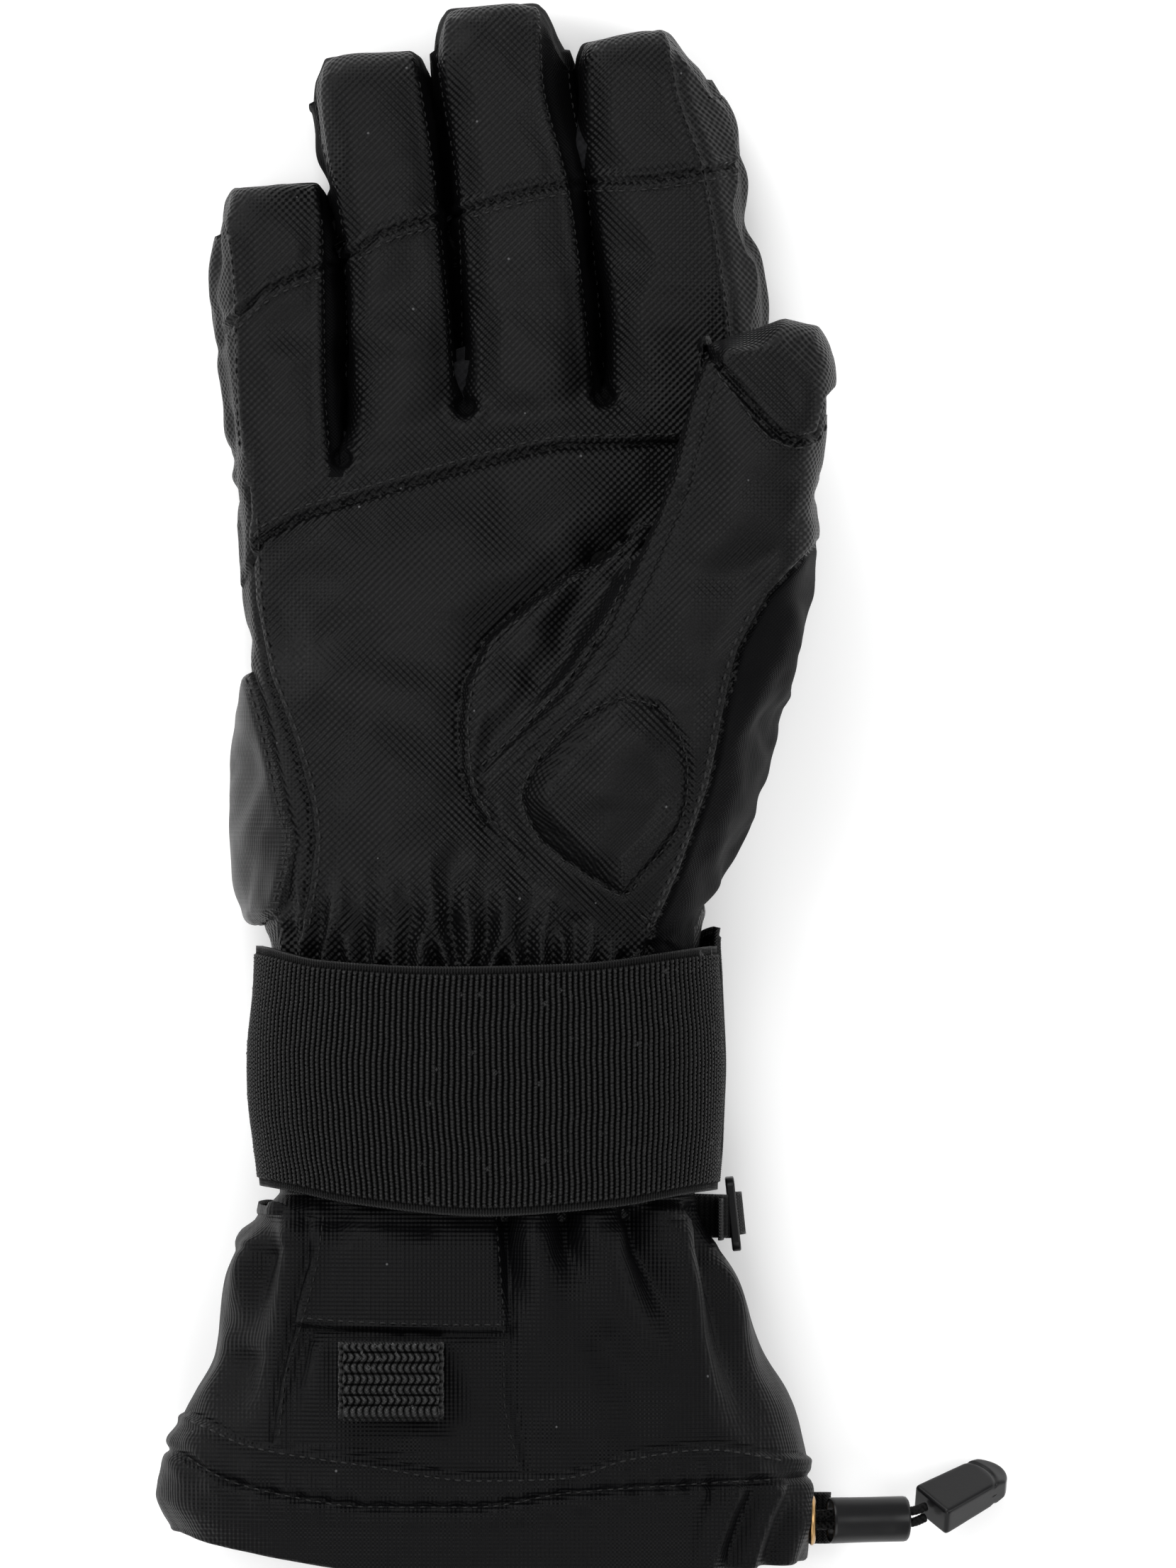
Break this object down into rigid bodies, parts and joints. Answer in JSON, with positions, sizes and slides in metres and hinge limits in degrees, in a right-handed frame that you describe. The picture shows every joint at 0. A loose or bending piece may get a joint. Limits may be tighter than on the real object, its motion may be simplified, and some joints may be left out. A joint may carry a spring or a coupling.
{
  "type": "ski glove",
  "caption": "Insulated gauntlet-style ski glove for the right hand, with a wide wrist strap, stitched thumb pad, pull loop and drawcord hem.",
  "frame": {"origin": "middle of the glove's footprint on the surface that it lies on, without the drawcord", "axes": "+X to the thumb side, +Y to the fingertips, +Z out of the palm; the glove lies on its back"},
  "size_m": [0.171, 0.3161, 0.0619],
  "materials": {
    "palm_fabric": "coated woven",
    "back_fabric": "soft woven",
    "cuff_fabric": "fine ripstop",
    "pad_rubber": "ribbed satin",
    "wadding": "soft",
    "lining": "brushed fleece",
    "webbing": "ribbed webbing",
    "hook_loop": "hook and loop",
    "elastic": "braided",
    "plastic": "satin moulded",
    "brass": "polished"
  },
  "bodies": {
    "glove_body": {"palm_panel_upper": "palm_fabric", "palm_panel_lower": "palm_fabric", "hand_back_panel": "palm_fabric", "fourchette_little_ring": "back_fabric", "fourchette_ring_middle": "back_fabric", "fourchette_middle_index": "back_fabric", "little_side_panel": "palm_fabric", "index_side_panel": "palm_fabric", "hypothenar_pad": "pad_rubber", "thenar_panel": "palm_fabric", "thumb_front_panel": "palm_fabric", "thumb_back_panel": "back_fabric", "thenar_pad": "palm_fabric", "hand_wadding": "wadding", "hand_lining": "lining", "wrist_sleeve": "palm_fabric", "wrist_elastic": "elastic", "strap_loop_patch": "hook_loop", "strap_back_webbing": "webbing", "adjuster_webbing": "webbing", "gauntlet_flap_panel": "cuff_fabric", "gauntlet_centre_panel": "cuff_fabric", "gauntlet_left_panel": "cuff_fabric", "gauntlet_right_panel": "cuff_fabric", "gauntlet_back_panel": "cuff_fabric", "gauntlet_hem": "cuff_fabric", "gauntlet_lining": "lining", "eyelet": "brass", "cord_anchor_tab": "webbing", "drawcord_a": "elastic", "drawcord_b": "elastic"},
    "index_end": {"index_tip_patch": "palm_fabric", "index_end_back": "back_fabric", "index_end_wadding": "wadding", "index_end_lining": "lining"},
    "middle_end": {"middle_tip_patch": "palm_fabric", "middle_end_back": "back_fabric", "middle_end_wadding": "wadding", "middle_end_lining": "lining"},
    "ring_end": {"ring_tip_patch": "palm_fabric", "ring_end_back": "back_fabric", "ring_end_wadding": "wadding", "ring_end_lining": "lining"},
    "little_end": {"little_tip_patch": "palm_fabric", "little_end_back": "back_fabric", "little_end_wadding": "wadding", "little_end_lining": "lining"},
    "thumb_end": {"thumb_tip_patch": "palm_fabric", "thumb_end_back": "back_fabric", "thumb_end_wadding": "wadding", "thumb_end_lining": "lining"},
    "strap": {"wrist_strap": "webbing", "strap_hook_patch": "hook_loop"},
    "slider": {"slider_buckle": "plastic", "adjuster_loop": "webbing"},
    "pull_loop": {"pull_loop": "webbing"},
    "cord_lock": {"cord_lock": "plastic"},
    "cord_end": {"cord_end": "plastic"}
  },
  "joints": [
    {"name": "index_bend", "type": "hinge", "parent": "glove_body", "child": "index_end", "pos_m": [0.0355, 0.115, 0.0225], "axis": [1, 0, 0], "range_deg": [0, 70]},
    {"name": "middle_bend", "type": "hinge", "parent": "glove_body", "child": "middle_end", "pos_m": [0.005, 0.111, 0.0225], "axis": [1, 0, 0], "range_deg": [0, 70]},
    {"name": "ring_bend", "type": "hinge", "parent": "glove_body", "child": "ring_end", "pos_m": [-0.02, 0.103, 0.022], "axis": [1, 0, 0], "range_deg": [0, 70]},
    {"name": "little_bend", "type": "hinge", "parent": "glove_body", "child": "little_end", "pos_m": [-0.0433, 0.091, 0.0215], "axis": [1, 0, 0], "range_deg": [0, 70]},
    {"name": "thumb_bend", "type": "hinge", "parent": "glove_body", "child": "thumb_end", "pos_m": [0.0491, 0.0675, 0.0542], "axis": [0.9563, -0.2924, 0], "range_deg": [0, 45]},
    {"name": "strap_open", "type": "hinge", "parent": "glove_body", "child": "strap", "pos_m": [0.0452, -0.058, 0.026], "axis": [0, 1, 0], "range_deg": [0, 100]},
    {"name": "pull_loop_lift", "type": "hinge", "parent": "glove_body", "child": "pull_loop", "pos_m": [-0.021, -0.11265, 0.0566], "axis": [-1, 0, 0], "range_deg": [0, 110]},
    {"name": "slider_slide", "type": "slide", "parent": "glove_body", "child": "slider", "axis": [0, 0, -1], "range_m": [0, 0.006]},
    {"name": "cord_lock_slide", "type": "slide", "parent": "glove_body", "child": "cord_lock", "axis": [0.9799, 0.017, -0.199], "range_m": [0, 0.0015]},
    {"name": "cord_end_pull", "type": "slide", "parent": "glove_body", "child": "cord_end", "axis": [1, 0, 0], "range_m": [0, 0.012], "stiffness_N_per_m": 40}
  ]
}
